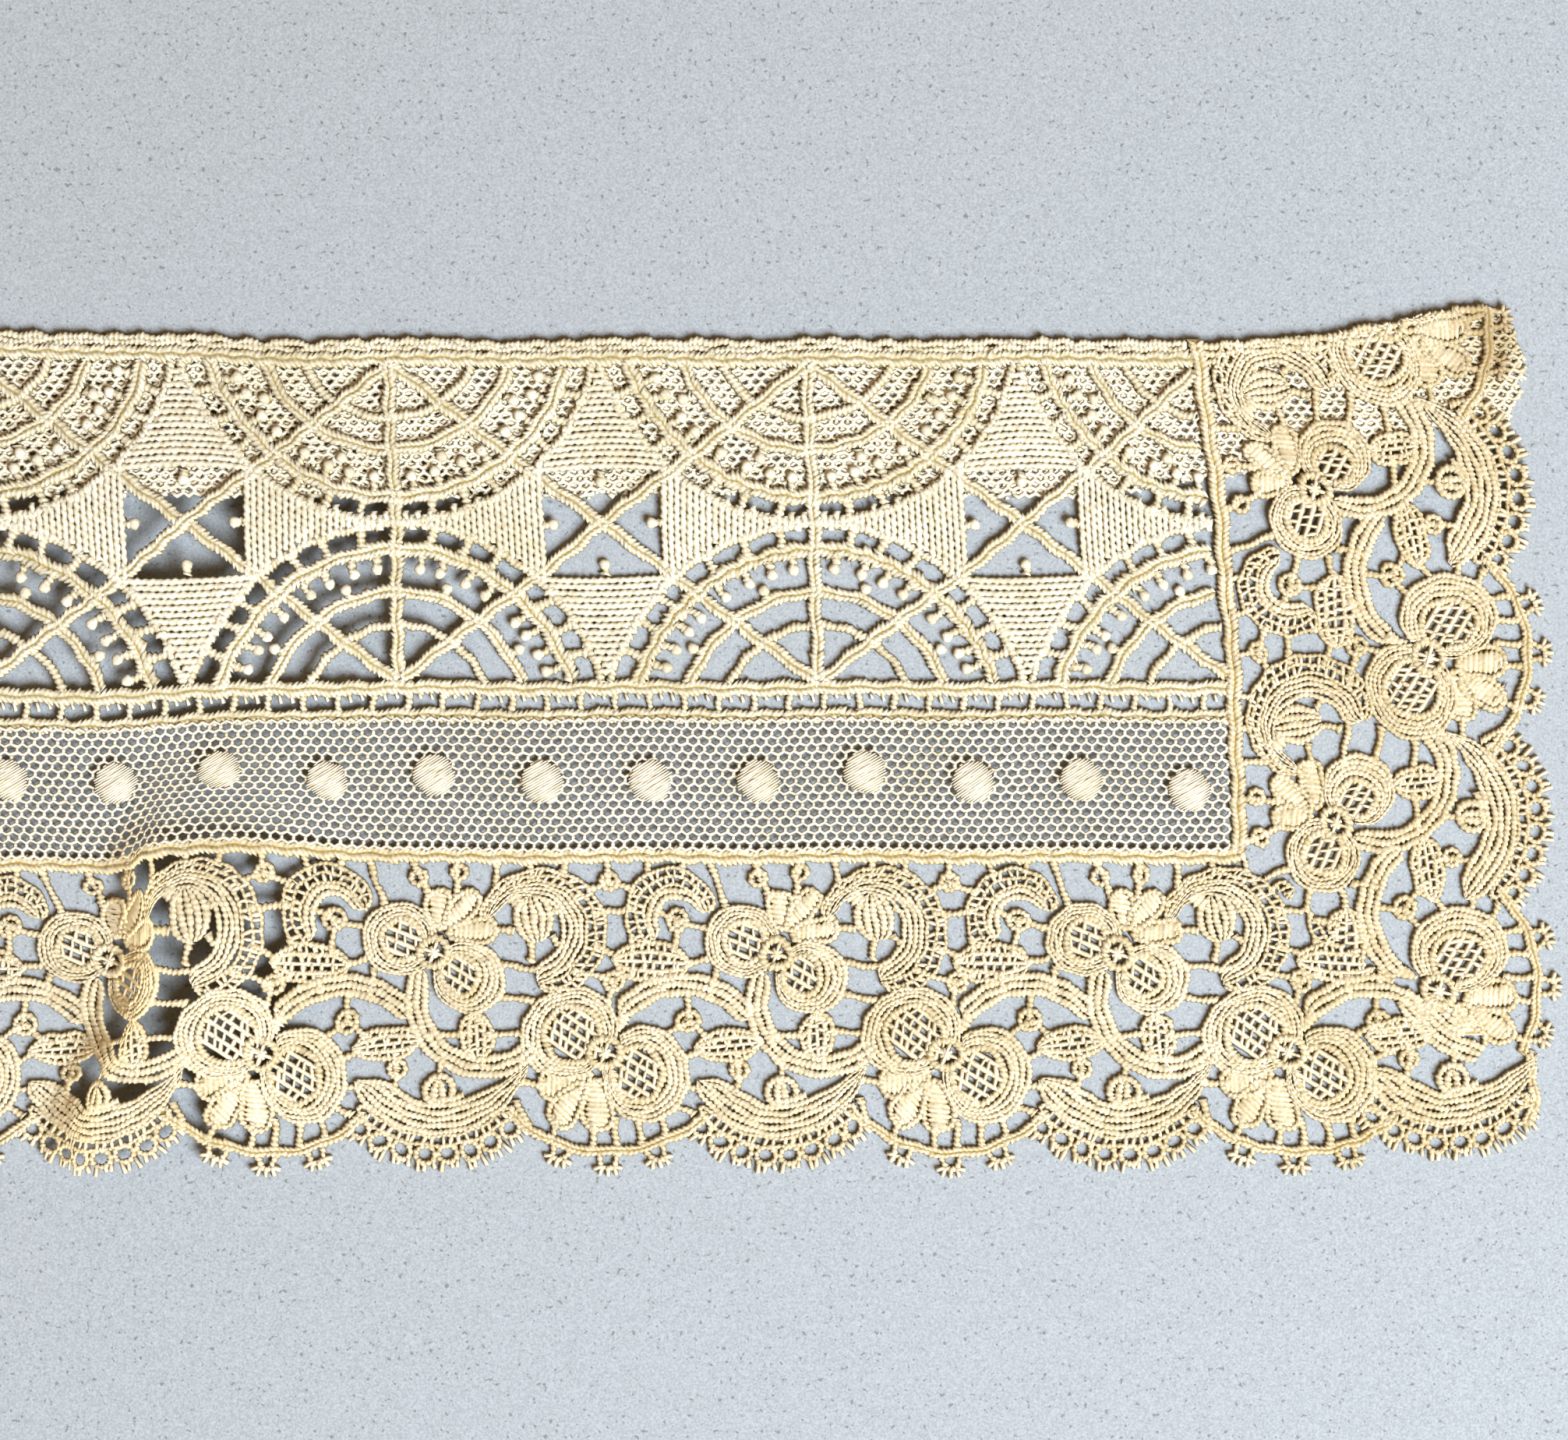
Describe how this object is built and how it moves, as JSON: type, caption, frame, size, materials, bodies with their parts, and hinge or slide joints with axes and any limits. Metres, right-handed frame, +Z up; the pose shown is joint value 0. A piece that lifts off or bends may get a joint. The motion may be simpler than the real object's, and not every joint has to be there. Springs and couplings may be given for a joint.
{
  "type": "embroidered lace border",
  "caption": "Flat cut length of cream cotton lace border: wheel-pattern insertion, dotted net strip and scalloped floral edging that turns a mitred corner.",
  "frame": {"origin": "middle of the border's box, on the surface that it lies on", "axes": "+X along the border towards the mitred corner, +Y from the scalloped edge to the head, +Z up through the cloth"},
  "size_m": [0.2058, 0.1116, 0.0061],
  "materials": {
    "cream_lace": "matt stitched cotton thread, cream with golden grooves",
    "cotton_net": "fine hexagonal cotton net, pale cream"
  },
  "bodies": {
    "root": {"lace_insertion": "cream_lace", "net_turning": "cotton_net", "net_band": "cotton_net", "edging_bottom": "cream_lace", "edging_side": "cream_lace"}
  },
  "joints": []
}
